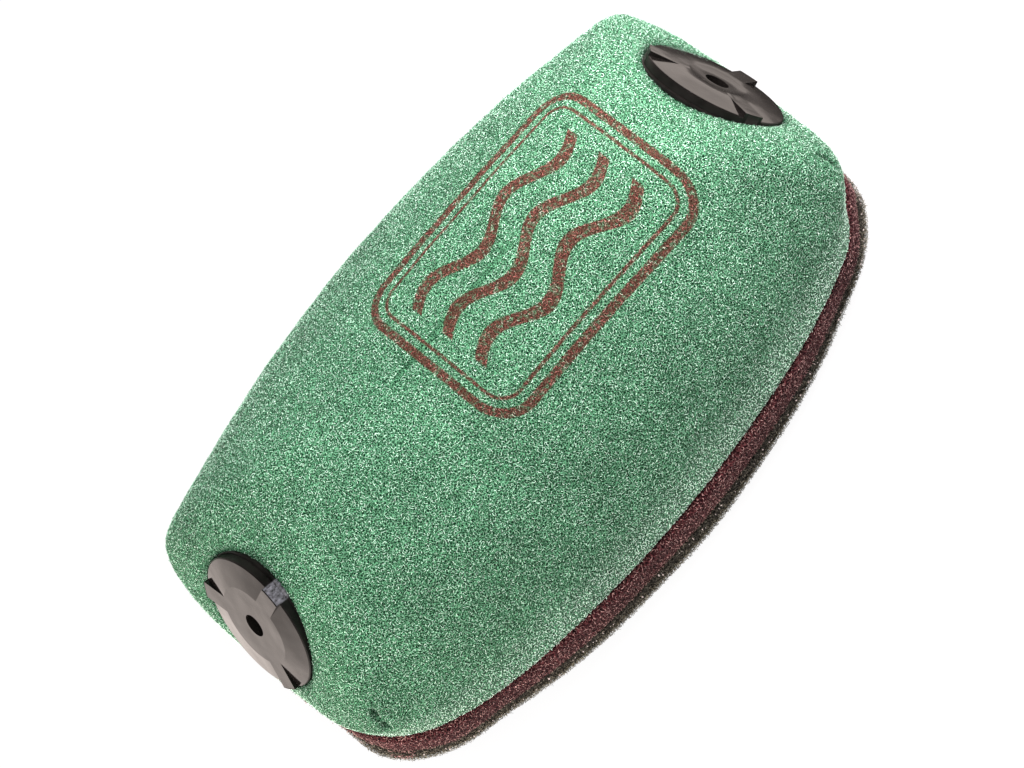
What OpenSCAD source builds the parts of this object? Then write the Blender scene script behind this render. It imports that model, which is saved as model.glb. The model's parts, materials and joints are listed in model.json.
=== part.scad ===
// Two-layer foam air filter element for an off-road motorcycle, in millimetres.
// The origin is the middle of the sealing face, X runs along the dome and Z up through its crown.

/* [Sealing face] */
// Length of the sealing face at its middle
base_length = 190; // [172:1:208]
// Width of the sealing face at mid length
base_width = 120; // [112:1:134]
// Width of the sealing face across each end
end_width = 75; // [68:1:84]
// How far each end bows outward
end_bow = 4; // [1:0.5:6]
// Power of the curve of the long sides, 2 being a parabola
side_power = 2.5; // [2:0.1:3]
// Length taken off each corner by its rounding
base_corner = 4; // [2:0.5:8]

/* [Gasket and flange] */
// Thickness of the black gasket
gasket_thickness = 5.5; // [3:0.5:8]
// Thickness of the maroon flange
flange_thickness = 8.5; // [5:0.5:11]
// How far the flange lies inside the gasket's edge
flange_inset = 0.5; // [0:0.1:2]
// Thickness of each glue line
glue_thickness = 0.5; // [0.3:0.1:1]
// How far each glue line stays inside the edges that it joins
glue_inset = 2.5; // [1.5:0.5:4]

/* [Dome] */
// Height of the crown above the sealing face
dome_height = 64; // [58:1:74]
// How far the green foam overhangs the sealing face at each end
end_overhang = 1; // [0:0.5:3]
// How far the green foam stands back from the sealing face at the long sides
side_setback = 2.5; // [2:0.5:6]
// How much fuller the green foam's ends are than the sealing face, on each side
corner_fullness = 6; // [3:0.5:8]
// Power of the curve of the dome's long sides
dome_power = 2; // [1.8:0.1:2.6]
// Length taken off each corner of the dome's foot, where it is tucked in
foot_corner = 26; // [18:1:30]
// Length taken off each corner of the dome's wall above that
wall_corner = 6.5; // [4:0.5:10]
// Share of the dome's height over which the tucked corners fill out
tuck_share = 0.35; // [0.2:0.05:0.5]
// Share of the length that the ends lose by the crown
end_draft = 0.31; // [0.24:0.01:0.36]
// Share of the width that the sides lose by the crown
side_draft = 0.2; // [0.1:0.01:0.3]
// Power of the crown across the dome, 2 being an ellipse
crown_power = 2.2; // [2:0.1:2.6]
// Power of the shoulder at the ends of the crown, larger being tighter
shoulder_power = 7; // [5:1:10]
// Thickness of the green foam
outer_thickness = 8; // [6:0.5:10]
// Thickness of the maroon foam
inner_thickness = 9; // [7:0.5:11]

/* [End caps] */
// Diameter of the cap's rim
cap_diameter = 38; // [34:0.5:42]
// Height of the middle of the cap's seat above the sealing face
cap_height = 36; // [34:0.5:38]
// Slope of the cap's face from upright, in degrees
cap_tilt = 26; // [20:1:32]
// How far the cap's seat is sunk below the dome's end
seat_depth = 6.6; // [5.6:0.2:7.6]
// Height of the cap's rim above its seat
rim_height = 3.4; // [2.8:0.1:5]
// Height of the thin lip round the cap's foot
lip_height = 1; // [0.6:0.1:1.6]
// How far the lip stands out from the rim
lip_width = 0.5; // [0.3:0.1:1]
// Diameter of the flat in the middle of the cap
flat_diameter = 22.6; // [18:0.2:26]
// Height of that flat above the rim's edge
flat_rise = 1.2; // [0.5:0.1:1.8]
// Width of each of the three ribs
rib_width = 5.5; // [3:0.5:7]
// Diameter of the hole for the cage's pin
bore_diameter = 6.4; // [5.4:0.2:8.4]
// Outside diameter of the barrel through the foam
barrel_diameter = 11; // [10.4:0.2:13]
// Turn of the left cap's ribs, in degrees
left_turn = 39; // [0:1:120]
// Turn of the right cap's ribs, in degrees
right_turn = 9; // [0:1:120]

/* [Backing washers] */
// Diameter of the washer inside the dome
washer_diameter = 22; // [18:0.5:25]
// Thickness of the washer
washer_thickness = 2; // [1.5:0.1:3]
// How far the washer is pressed into the foam
washer_bite = 1.6; // [1:0.2:2.4]

/* [Clearances] */
// Gap between the two foams
layer_gap = 0.3; // [0.2:0.1:0.6]
// Gap round the barrel, the caps and the washers
fit_gap = 0.2; // [0.1:0.05:0.4]

/* [Hidden] */
$fn = 96;
RIBS = 3;
SIDE_STEPS = 10;
CORNER_STEPS = 4;
END_STEPS = 5;
DOME_STEPS = 14;
SOLVE_STEPS = 8;
// The end wall leans back as this power of its height
END_POWER = 2.1;
// Least rounding of a corner
LEAST_CORNER = 3;
// Chamfer on the edges of the moulded pieces
MOULD_CHAMFER = 0.3;
// The seat widens over its soft edge by this much, and reaches clear of the dome
SEAT_FLARE = 9;
SEAT_REACH = 9;
// Length of a cutter that has to leave the foam
CUT_REACH = 14;

// Heights of the layers, from the sealing face up
gasket_top = gasket_thickness;
flange_foot = gasket_top + glue_thickness;
flange_top = flange_foot + flange_thickness;
dome_foot = flange_top + glue_thickness;

// A plan is [half length to the corner, half width, half width of the end,
// rounding of the corner at its foot, rounding higher up, power of the long side]
base_plan = [base_length / 2 - end_bow, base_width / 2, end_width / 2, base_corner, base_corner, side_power];
flange_plan = inset(base_plan, flange_inset);
outer_plan = [
    base_plan[0] + end_overhang,
    base_plan[1] - side_setback,
    base_plan[2] + corner_fullness,
    foot_corner,
    wall_corner,
    dome_power
];
lining_plan = inset(outer_plan, outer_thickness);
inner_plan = inset(lining_plan, layer_gap);
cavity_plan = inset(inner_plan, inner_thickness);

// Crown heights of the same four surfaces
lining_crown = dome_height - outer_thickness;
inner_crown = lining_crown - layer_gap;
cavity_crown = inner_crown - inner_thickness;

// The cap's seat, and the depth along the cap's axis at which the washer lies
seat_x = wall_x(cap_height, outer_plan, dome_foot, dome_height) - seat_depth;
washer_depth = axis_depth(0, SOLVE_STEPS) - washer_bite;
flat_top = rim_height + flat_rise;
cap_r = cap_diameter / 2;
lip_r = cap_r + lip_width;
bore_r = bore_diameter / 2;
barrel_r = barrel_diameter / 2;
washer_r = washer_diameter / 2;

function inset(plan, d) = [
    plan[0] - d,
    plan[1] - d,
    plan[2] - d,
    max(LEAST_CORNER, plan[3] - d),
    max(LEAST_CORNER, plan[4] - d),
    plan[5]
];

// Rounding of a plan's corners at share s of the dome's height
function corner_at(plan, s) =
    let (t = min(1, s / tuck_share), w = t * t * (3 - 2 * t))
    plan[3] + (plan[4] - plan[3]) * w;

// Long side: half width at x, from the middle to the corner
function side_y(x, plan) = plan[1] - (plan[1] - plan[2]) * pow(x / plan[0], plan[5]);

// End: half length at y, bowed between its corners
function end_x(y, plan) = plan[0] + end_bow * (1 - pow(y / plan[2], 2));

function bezier(a, c, b, t) = (1 - t) * (1 - t) * a + 2 * t * (1 - t) * c + t * t * b;

// One quarter of a plan: long side, rounded corner, end
function quarter(plan, corner) =
    let (
        from_x = plan[0] - corner,
        to_y = plan[2] - corner,
        from = [from_x, side_y(from_x, plan)],
        to = [end_x(to_y, plan), to_y]
    )
    concat(
        [for (i = [0 : SIDE_STEPS]) let (x = from_x * i / SIDE_STEPS) [x, side_y(x, plan)]],
        [for (i = [1 : CORNER_STEPS - 1]) bezier(from, [plan[0], plan[2]], to, i / CORNER_STEPS)],
        [for (i = [0 : END_STEPS]) let (y = to_y * (1 - i / END_STEPS)) [end_x(y, plan), y]]
    );

// A whole plan at share s of the dome's height, clockwise from the middle of the far side
function outline(plan, s = 0) =
    let (q = quarter(plan, corner_at(plan, s)), last = len(q) - 1)
    concat(
        [for (i = [0 : last]) q[i]],
        [for (i = [last - 1 : -1 : 0]) [q[i][0], -q[i][1]]],
        [for (i = [1 : last]) [-q[i][0], -q[i][1]]],
        [for (i = [last - 1 : -1 : 1]) [-q[i][0], q[i][1]]]
    );

// Shares of the length and width that are left at share s of the dome's height
function end_share(s) =
    (1 - end_draft * pow(s, END_POWER)) * pow(max(0, 1 - pow(s, shoulder_power)), 1 / shoulder_power);
function side_share(s, turn) = (1 - side_draft * s) * pow(cos(turn), 2 / crown_power);

// Half length of a dome's end wall at height z, on the middle line
function wall_x(z, plan, foot, crown) =
    (plan[0] + end_bow) * end_share(min(1, max(0, (z - foot) / (crown - foot))));

// Depth at which the cap's axis leaves the inner foam, by repeated substitution
function axis_depth(d, steps) =
    steps == 0 ? d : axis_depth(
        (seat_x - wall_x(cap_height - d * sin(cap_tilt), cavity_plan, dome_foot, cavity_crown)) / cos(cap_tilt),
        steps - 1
    );

function ring(plan, z) = [for (p = outline(plan)) [p[0], p[1], z]];

// The rings of a dome, from its foot to just under its crown
function dome_rings(plan, foot, crown) = [
    for (i = [0 : DOME_STEPS - 1])
        let (
            turn = 90 * i / DOME_STEPS,
            s = pow(sin(turn), 2 / crown_power),
            kx = end_share(s),
            ky = side_share(s, turn)
        )
        [for (p = outline(plan, s)) [p[0] * kx, p[1] * ky, foot + (crown - foot) * s]]
];

// A shell between two stacks of rings that close at a crown point and meet in a flat foot
module shell(outer, outer_crown, inner, inner_crown) {
    n = len(outer[0]);
    outer_count = len(outer);
    inner_count = len(inner);
    inner_start = outer_count * n;
    crown_start = inner_start + inner_count * n;
    points = concat(
        [for (r = outer) each r],
        [for (r = inner) each r],
        [[0, 0, outer_crown], [0, 0, inner_crown]]
    );
    faces = concat(
        [for (k = [0 : outer_count - 2], i = [0 : n - 1]) each strip(k * n, (k + 1) * n, i, n)],
        [for (k = [0 : inner_count - 2], i = [0 : n - 1])
            each strip(inner_start + (k + 1) * n, inner_start + k * n, i, n)],
        [for (i = [0 : n - 1]) each strip(inner_start, 0, i, n)],
        [for (i = [0 : n - 1]) fan(crown_start, (outer_count - 1) * n, i, (i + 1) % n)],
        [for (i = [0 : n - 1]) fan(crown_start + 1, crown_start - n, (i + 1) % n, i)]
    );
    polyhedron(points, faces);
}

// Two triangles between point i of a lower ring and the next point of an upper one
function strip(low, high, i, n) =
    let (j = (i + 1) % n)
    [[low + i, high + i, high + j], [low + i, high + j, low + j]];
function fan(crown, start, i, j) = [start + i, crown, start + j];

// A flat ring between two plans
module layer(plan, hole, z, thickness) {
    translate([0, 0, z])
        linear_extrude(thickness)
            difference() {
                polygon(outline(plan));
                polygon(outline(hole));
            }
}

// Puts a child drawn about the cap's axis, with its seat at z = 0, on one end of the dome
module on_end(side) {
    rotate([0, 0, side > 0 ? 0 : 180])
        translate([seat_x, 0, cap_height])
            rotate([0, 90 - cap_tilt, 0])
                children();
}

module on_both_ends() {
    on_end(1) children();
    on_end(-1) children();
}

// Hole for the barrel through both foams
module barrel_hole() {
    translate([0, 0, -washer_depth - CUT_REACH])
        cylinder(h = washer_depth + 2 * CUT_REACH, r = barrel_r + fit_gap);
}

// Soft-edged hollow that the cap lies in
module cap_seat() {
    translate([0, 0, -fit_gap])
        cylinder(h = SEAT_REACH + fit_gap, r1 = lip_r + fit_gap, r2 = lip_r + SEAT_FLARE);
}

// Flat hollow that the washer is pressed into
module washer_seat() {
    translate([0, 0, -washer_depth - CUT_REACH])
        cylinder(h = CUT_REACH, r = washer_r + fit_gap);
}

// Green outer foam
module outer_foam() {
    color([0.36, 0.58, 0.44])
        difference() {
            shell(
                dome_rings(outer_plan, dome_foot, dome_height), dome_height,
                dome_rings(lining_plan, dome_foot, lining_crown), lining_crown
            );
            on_both_ends() {
                cap_seat();
                barrel_hole();
            }
        }
}

// Maroon inner foam with its flange
module inner_foam() {
    color([0.31, 0.15, 0.17])
        difference() {
            shell(
                concat(
                    [ring(flange_plan, flange_foot), ring(flange_plan, flange_top)],
                    [ring(inner_plan, flange_top)],
                    dome_rings(inner_plan, dome_foot, inner_crown)
                ),
                inner_crown,
                concat([ring(cavity_plan, flange_foot)], dome_rings(cavity_plan, dome_foot, cavity_crown)),
                cavity_crown
            );
            on_both_ends() {
                barrel_hole();
                washer_seat();
            }
        }
}

// Black sealing ring
module sealing_gasket() {
    color([0.12, 0.12, 0.11])
        layer(base_plan, cavity_plan, 0, gasket_thickness);
}

// Glue under the green foam's foot
module dome_glue_line() {
    color([0.84, 0.82, 0.76])
        layer(inset(outer_plan, glue_inset), inset(lining_plan, -glue_inset / 2), flange_top, glue_thickness);
}

// Glue between flange and gasket
module gasket_glue_line() {
    color([0.84, 0.82, 0.76])
        layer(inset(flange_plan, glue_inset), inset(cavity_plan, -glue_inset), gasket_top, glue_thickness);
}

// Half section of a cap: lip, rim, cone, flat and barrel round the bore
function cap_section() =
    let (
        flat_r = flat_diameter / 2,
        barrel_end = -washer_depth - washer_thickness
    )
    [
        [bore_r, barrel_end],
        [barrel_r - MOULD_CHAMFER, barrel_end],
        [barrel_r, barrel_end + MOULD_CHAMFER],
        [barrel_r, 0],
        [lip_r, 0],
        [lip_r, lip_height - MOULD_CHAMFER],
        [lip_r - MOULD_CHAMFER, lip_height],
        [cap_r, lip_height],
        [cap_r, rim_height - MOULD_CHAMFER],
        [cap_r - MOULD_CHAMFER, rim_height],
        [flat_r, flat_top],
        [bore_r, flat_top]
    ];

// Three ribs that carry the flat out to the rim
module cap_ribs() {
    intersection() {
        for (i = [0 : RIBS - 1])
            rotate([0, 0, 360 / RIBS * i])
                translate([barrel_r, -rib_width / 2, lip_height])
                    cube([cap_r, rib_width, flat_top - lip_height]);
        cylinder(h = flat_top, r = cap_r);
    }
}

// Moulded cap with its ribs turned about the axis
module cap(turn) {
    color([0.08, 0.08, 0.08])
        rotate([0, 0, turn]) {
            rotate_extrude()
                polygon(cap_section());
            cap_ribs();
        }
}

// Washer on the barrel's inner end
module backing_washer() {
    color([0.1, 0.1, 0.1])
        translate([0, 0, -washer_depth - washer_thickness])
            difference() {
                cylinder(h = washer_thickness - fit_gap, r = washer_r);
                translate([0, 0, -washer_thickness])
                    cylinder(h = 3 * washer_thickness, r = barrel_r + fit_gap / 2);
            }
}

module left_cap() {
    on_end(-1) cap(left_turn);
}

module right_cap() {
    on_end(1) cap(right_turn);
}

module left_backing_washer() {
    on_end(-1) backing_washer();
}

module right_backing_washer() {
    on_end(1) backing_washer();
}

outer_foam();
inner_foam();
sealing_gasket();
left_cap();
right_cap();
left_backing_washer();
right_backing_washer();
dome_glue_line();
gasket_glue_line();
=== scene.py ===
"""Looks of a two-layer foam air filter element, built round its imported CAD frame.

Shapes are worked out in millimetres, in the frame of the CAD, and become metres when a mesh is made.
Materials, lamps and the camera are in metres.
"""
import json
import math
from functools import partialmethod
from typing import NamedTuple

import bmesh
import bpy
import numpy as np
from mathutils import Matrix, Vector, kdtree, noise

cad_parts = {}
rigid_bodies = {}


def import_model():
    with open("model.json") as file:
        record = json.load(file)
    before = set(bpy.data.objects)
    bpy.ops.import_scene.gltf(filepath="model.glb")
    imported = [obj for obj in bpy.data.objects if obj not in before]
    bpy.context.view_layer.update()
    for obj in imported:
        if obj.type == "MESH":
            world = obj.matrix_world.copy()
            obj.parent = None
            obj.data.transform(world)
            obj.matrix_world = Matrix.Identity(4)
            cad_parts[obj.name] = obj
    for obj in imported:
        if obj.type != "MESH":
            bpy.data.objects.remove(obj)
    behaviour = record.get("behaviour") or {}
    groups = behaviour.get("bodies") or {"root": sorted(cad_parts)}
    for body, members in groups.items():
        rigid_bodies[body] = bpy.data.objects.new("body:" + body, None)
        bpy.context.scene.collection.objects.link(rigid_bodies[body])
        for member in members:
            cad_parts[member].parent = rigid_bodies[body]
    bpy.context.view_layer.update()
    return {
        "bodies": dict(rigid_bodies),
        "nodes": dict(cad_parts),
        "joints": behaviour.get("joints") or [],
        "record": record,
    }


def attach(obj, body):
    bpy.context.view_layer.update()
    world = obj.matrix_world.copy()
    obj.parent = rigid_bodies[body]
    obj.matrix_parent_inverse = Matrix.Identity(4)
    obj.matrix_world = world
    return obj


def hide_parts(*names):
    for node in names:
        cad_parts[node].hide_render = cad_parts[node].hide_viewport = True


MM = 0.001
SEED = 20
TINY = 1e-9
UNIT = (0.0, 1.0)


class Plan(NamedTuple):
    """One outline of the element, seen from above."""
    half_length: float
    half_width: float
    end_half_width: float
    foot_corner: float
    wall_corner: float
    side_power: float


# Sizes as in the part's source
END_BOW = 4.0
BASE_PLAN = Plan(91.0, 60.0, 37.5, 4.0, 4.0, 2.5)
OUTER_PLAN = Plan(92.0, 57.5, 43.5, 26.0, 6.5, 2.0)
LEAST_CORNER = 3.0
TUCK_SHARE = 0.35
FLANGE_INSET = 0.5
OUTER_THICKNESS = 8.0
INNER_THICKNESS = 9.0
LAYER_GAP = 0.3
GASKET_TOP = 5.5
FLANGE_FOOT = 6.0
FLANGE_TOP = 14.5
DOME_FOOT = 15.0
DOME_CROWN = 64.0
END_DRAFT = 0.31
END_POWER = 2.1
SIDE_DRAFT = 0.2
CROWN_POWER = 2.2
SHOULDER_POWER = 7.0
CAP_HEIGHT = 36.0
CAP_TILT = math.radians(26.0)
SEAT_DEPTH = 6.6
CAP_RADIUS = 19.5
RIB_ANGLE = math.radians(21.0)
RIB_WIDTH = 5.5
RIB_TOP = 4.6
RIM_RADIUS = 19.0
BARREL_RADIUS = 5.5
WASHER_RADIUS = 11.0
WASHER_DEPTH = 10.83
FIT_GAP = 0.2

# Mesh density: points round a ring, steps in the drawing of an outline, and distances between rings
AROUND = 640
QUARTER_STEPS = 90
TURN_STEPS = 900
LAST_TURN = math.radians(89.2)
OUTSIDE_STEP = 0.8
LINING_STEP = 3.2
CAVITY_STEP = 1.4
INNER_STEP = 4.0
CUTTER_SIDES = 64

# Green foam's lower edge: its height, how far up it is paler with painted light bounced from the floor, how
# it rolls under, and how far it spreads outward in the middle of the long sides
GREEN_FOOT = DOME_FOOT - 0.2
RIM_LIGHT_REACH = 12.0
FOOT_ROLL = 1.2
FOOT_FLARE = 1.2
FLARE_REACH = 7.0
FLARE_FADE_FROM = 50.0
FLARE_FADE_OVER = 26.0


class Lump(NamedTuple):
    """Soft unevenness of the green foam: its height, its size, and where its noise begins."""
    height: float
    size: float
    offset: float


LUMPS = (Lump(0.35, 16.0, 0.0), Lump(0.16, 5.0, 7.0))
LUMP_RISE = 3.0


class Crease(NamedTuple):
    """A fold pressed into the green foam, as one dent or as several in a row."""
    start: tuple
    end: tuple
    inward: tuple
    depth: float
    half_width: float
    dents: int


CREASES = (
    Crease((88.4, -32.2, 35.4), (90.2, -36.8, 27.0), (-0.82, 0.38, -0.42), 3.0, 0.65, 1),
    Crease((-85.2, -37.4, 34.9), (-86.4, -40.7, 25.0), (0.5, 0.78, -0.35), 2.2, 0.8, 2),
)
CREASE_REACH = 6.0
DENT_POWER = 0.7
# Crease depth at which the painted shade in a crease is full
CREASE_SHADE_DEPTH = 2.0


class Bulge(NamedTuple):
    """A place on a hand-cut edge that stands further out, or further in if out is negative."""
    x: float
    y: float
    out: float
    reach: float


BASE_BULGES = (
    Bulge(-77.0, -45.0, 1.9, 10.0),
    Bulge(3.0, -60.0, 0.8, 15.0),
    Bulge(78.0, -45.0, 1.0, 9.0),
    Bulge(-92.0, -37.0, -1.4, 5.0),
    Bulge(88.5, -37.0, -0.9, 4.0),
    Bulge(93.0, -27.0, 0.8, 5.0),
)
FOOT_BULGES = (
    Bulge(-95.0, -17.0, -0.9, 11.0),
    Bulge(-95.5, 10.0, -0.7, 12.0),
    Bulge(86.0, -39.5, -0.9, 4.0),
    Bulge(76.5, -46.0, 0.5, 5.0),
)
FOOT_BULGE_RISE = 12.0

# Green foam round a cap: the gap at the cap's wall, how far out and down the foam is pressed, what share
# of its height is left at the cap, and where it lies under the cap
CAP_GAP = 0.2
PRESS_RADIUS = 29.0
PRESS_FOOT = -12.0
SNAP_REACH = 0.45
PRESSED_SHARE = 0.6
PRESS_POWER = 2.2
UNDER_CAP = -0.4
UNDER_CAP_INSET = 0.3

# Width of the shaded gap between a cap's wall and the green foam
SHADE_REACH = 2.5

# Flange: heights of its skin, its soft edges, and how its wall swells
FLANGE_SKIN_FOOT = FLANGE_FOOT - 0.2
FLANGE_SKIN_TOP = FLANGE_TOP + 0.1
FLANGE_SOFT = 1.3
FLANGE_SWELL = 0.3
FLANGE_OUT = 0.5
FLANGE_ROWS = 13

# How far the flange stands out over the gasket, growing from the middle of the length, and less at the ends
OVERHANG = 1.3
OVERHANG_RUN = 70.0
LEFT_END_OVERHANG = 0.9
RIGHT_END_OVERHANG = -0.1
END_FROM = 74.0
END_RUN = 14.0

# Gasket: heights of its skin, its soft edges, the room for its fringe, and how far its near left corner
# is pushed out, from where along the end
GASKET_SKIN_FOOT = 0.05
GASKET_SKIN_TOP = GASKET_TOP + 0.1
GASKET_SOFT = 1.2
FRINGE_ROOM = 0.7
GASKET_ROWS = 9
FRINGE_ROWS = 5
CORNER_PUSH = 1.4
PUSH_FROM = 16.0
PUSH_RUN = 14.0

# Corner where the maroon foam hangs down over the black: how wide and how low, and what width is left there
TONGUE_PLACE = (-89.5, -38.5)
TONGUE_REACH = 5.5
TONGUE_FOOT = 2.8
TONGUE_TIP = 0.3

# Glue: heights of both seams, edges of a seam inside its outline, waves in its edge, and beads of it
DOME_GLUE = (14.62, 14.76)
DOME_GLUE_INSET = 2.0
GASKET_GLUE = (5.63, 5.77)
GLUE_EDGE = 2.0
GLUE_INNER_EDGE = 7.0
GLUE_WAVE = Lump(1.2, 6.0, 3.0)
GASKET_BEADS = 240
BEAD_RADIUS = (0.08, 0.2)
BEAD_OUT = (0.2, 0.7)
BEAD_SPREAD = 0.6
BEAD_STRETCH = (0.6, 1.6)

# Cutters for barrels and washers: how far they reach below and above a cap's seat
CUTTER_FOOT = -24.0
CUTTER_TOP = 6.0
CUT_SHARP = math.radians(50.0)

# Bowl sunk round the hole in the right cap's face: radius of its floor and of its edge, its depth, and how
# far its cutter goes on past the edge and above the face
BOWL_FLOOR = 4.0
BOWL_EDGE = 8.0
BOWL_DEPTH = 0.5
BOWL_STEPS = 10
BOWL_SIDES = 96
BOWL_PAST_EDGE = 1.2
BOWL_LID = 1.0
CAP_SHARP = math.radians(9.0)
WELD = 0.001


class Net(NamedTuple):
    """How the struts of one foam lie over its skin."""
    gap: float
    width: float
    low: float
    high: float
    links: int
    hair_share: float
    hair_length: float
    tone_power: float


GREEN_NET = Net(0.36, 0.09, -0.1, 0.22, 2, 0.04, 0.4, 1.4)
MAROON_NET = Net(0.4, 0.105, -0.1, 0.4, 2, 0.1, 0.45, 2.7)
BLACK_NET = Net(0.5, 0.13, -0.1, 0.7, 2, 0.1, 0.5, 1.4)
FRINGE_NET = Net(0.36, 0.1, 0.0, 1.0, 3, 0.2, 0.5, 1.0)
TONGUE_NET = Net(0.42, 0.13, 0.5, 1.2, 3, 0.1, 0.4, 1.9)

# Random points per square gap, how struts vary, and how low they may lie
CROWDING = 3.0
HAIR_LEAN = 0.8
HAIR_VARIETY = (0.5, 1.2)
STRIP_TILT = 0.6
STRIP_VARIETY = (0.7, 1.3)
LEAST_HEIGHT = 0.03

# Print on the green foam, seen from above: a rounded frame round three waves
PRINT_PLACE = (24.0, -3.0)
PRINT_HALF_LENGTH = 37.0
PRINT_HALF_WIDTH = 25.0
PRINT_CORNER = 9.0
PRINT_SOFTNESS = 0.25
FRAME_LINE = 2.2
INNER_FRAME_GAP = 3.4
INNER_FRAME_LINE = 0.9
WAVE_LENGTH = 29.0
WAVE_RISE = 3.0
WAVE_LINE = 3.6
WAVE_PITCH = 11.0
WAVE_ROWS_END = (1.45, 1.5)
WAVE_REACH = 29.0
WAVE_END_SOFTNESS = 0.3
PRINT_FADE_Z = (0.036, 0.04)

# Levels of the surroundings, as light and as seen in glossy surfaces
AMBIENT = 0.52
SKY_IN_GLOSS = 0.02

# Floor: half its side in millimetres, its look, and the share of it that glows for the camera
FLOOR_HALF = 3000.0
FLOOR_COLOUR = (0.86, 0.86, 0.86, 1)
FLOOR_ROUGHNESS = 0.9
FLOOR_GLOW = 0.92

# Floor as seen in glossy surfaces, at places along X in metres: a painted reflection, with a painted shadow
# close to the right end
PAINTED_FLOOR_IN_GLOSS = (
    (-0.3, 1.0), (-0.15, 1.53), (-0.11, 1.79), (0.0, 0.85), (0.1, 0.03),
    (0.112, 0.1), (0.124, 0.3), (0.131, 1.1), (0.16, 1.5), (0.3, 1.8),
)
# Warm tint of the floor's painted reflection
PAINTED_REFLECTION_TINT = (1.0, 0.88, 0.81, 1)

# Point that most lamps are aimed at
AIM = (0.0, 0.0, 0.03)

# Camera, fitted to the photograph
LENS_MM = 142.9
SENSOR_MM = 36.0
VIEW_END = 20.0
CAMERA_PLACE = (-0.059972, -0.477227, 0.917456)
CAMERA_RIGHT = (0.645727, -0.691313, -0.324228)
CAMERA_UP = (0.761394, 0.550935, 0.341687)
CAMERA_BACK = (-0.057584, -0.467501, 0.882115)


def inset(plan, d):
    """The plan with every edge moved inward by d."""
    return Plan(
        plan.half_length - d,
        plan.half_width - d,
        plan.end_half_width - d,
        max(LEAST_CORNER, plan.foot_corner - d),
        max(LEAST_CORNER, plan.wall_corner - d),
        plan.side_power,
    )


FLANGE_PLAN = inset(BASE_PLAN, FLANGE_INSET)
LINING_PLAN = inset(OUTER_PLAN, OUTER_THICKNESS)
INNER_PLAN = inset(LINING_PLAN, LAYER_GAP)
CAVITY_PLAN = inset(INNER_PLAN, INNER_THICKNESS)
LINING_CROWN = DOME_CROWN - OUTER_THICKNESS
INNER_CROWN = LINING_CROWN - LAYER_GAP
CAVITY_CROWN = INNER_CROWN - INNER_THICKNESS


def smooth(t):
    """Eases a share from 0 to 1."""
    t = np.clip(t, 0.0, 1.0)
    return t * t * (3.0 - 2.0 * t)


def resample(points, count):
    """A closed polyline as count points an even distance apart."""
    closed = np.vstack([points, points[:1]])
    steps = np.linalg.norm(np.diff(closed, axis=0), axis=1)
    along = np.concatenate([[0.0], np.cumsum(steps)])
    wanted = np.linspace(0.0, along[-1], count, endpoint=False)
    return np.column_stack([np.interp(wanted, along, closed[:, k]) for k in range(points.shape[1])])


def outline(plan, corner):
    """A plan's outline with corners rounded over that length, from the far side's middle towards +X."""
    from_x = plan.half_length - corner
    to_y = plan.end_half_width - corner
    x = np.linspace(0.0, from_x, QUARTER_STEPS)
    taper = (plan.half_width - plan.end_half_width) * (x / plan.half_length) ** plan.side_power
    side = np.column_stack([x, plan.half_width - taper])
    y = np.linspace(to_y, 0.0, QUARTER_STEPS // 2)
    end = np.column_stack([plan.half_length + END_BOW * (1.0 - (y / plan.end_half_width) ** 2), y])
    t = np.linspace(0.0, 1.0, QUARTER_STEPS // 3)[1:-1, None]
    turn = np.array([plan.half_length, plan.end_half_width])
    bend = (1 - t) ** 2 * side[-1] + 2 * t * (1 - t) * turn + t ** 2 * end[0]
    quarter = np.vstack([side, bend, end])
    half = np.vstack([quarter, quarter[-2::-1] * [1, -1]])
    whole = np.vstack([half, half[-2:0:-1] * [-1, 1]])
    return resample(whole, AROUND)


def end_share(s):
    """Share of the length that is left at share s of a dome's height."""
    shoulder = np.maximum(0.0, 1.0 - s ** SHOULDER_POWER) ** (1.0 / SHOULDER_POWER)
    return (1.0 - END_DRAFT * s ** END_POWER) * shoulder


def dome_ring(plan, foot, crown, turn):
    """One ring of a dome, at an angle from its foot (0) to its crown (a quarter turn)."""
    s = math.sin(turn) ** (2.0 / CROWN_POWER)
    corner = plan.foot_corner + (plan.wall_corner - plan.foot_corner) * smooth(s / TUCK_SHARE)
    kx = end_share(s)
    ky = (1.0 - SIDE_DRAFT * s) * math.cos(turn) ** (2.0 / CROWN_POWER)
    flat = outline(plan, corner) * [kx, ky]
    return np.column_stack([flat, np.full(len(flat), foot + (crown - foot) * s)])


def even_turns(plan, foot, crown, step):
    """Angles whose rings lie about step millimetres apart down the middle of the long side."""
    turns = np.linspace(0.0, LAST_TURN, TURN_STEPS)
    s = np.sin(turns) ** (2.0 / CROWN_POWER)
    y = plan.half_width * (1.0 - SIDE_DRAFT * s) * np.cos(turns) ** (2.0 / CROWN_POWER)
    z = foot + (crown - foot) * s
    along = np.concatenate([[0.0], np.cumsum(np.hypot(np.diff(y), np.diff(z)))])
    count = int(along[-1] / step)
    return np.interp(np.linspace(0.0, along[-1], count), along, turns)


def dome_rings(plan, foot, crown, step):
    """Rings of a dome from its foot up, an even distance apart."""
    return [dome_ring(plan, foot, crown, turn) for turn in even_turns(plan, foot, crown, step)]


def flat_ring(plan, z):
    """A ring at one height."""
    flat = outline(plan, plan.foot_corner)
    return np.column_stack([flat, np.full(len(flat), z)])


def rings_between(first, last, count):
    """Rings that lead from one ring to another, without the two themselves."""
    shares = np.linspace(0.0, 1.0, count + 2)[1:-1]
    return [first + (last - first) * share for share in shares]


def outward(ring):
    """Level unit vectors that point out of a ring."""
    ahead = np.roll(ring, -1, axis=0) - np.roll(ring, 1, axis=0)
    out = np.column_stack([-ahead[:, 1], ahead[:, 0], np.zeros(len(ring))])
    return out / np.linalg.norm(out, axis=1)[:, None]


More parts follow.
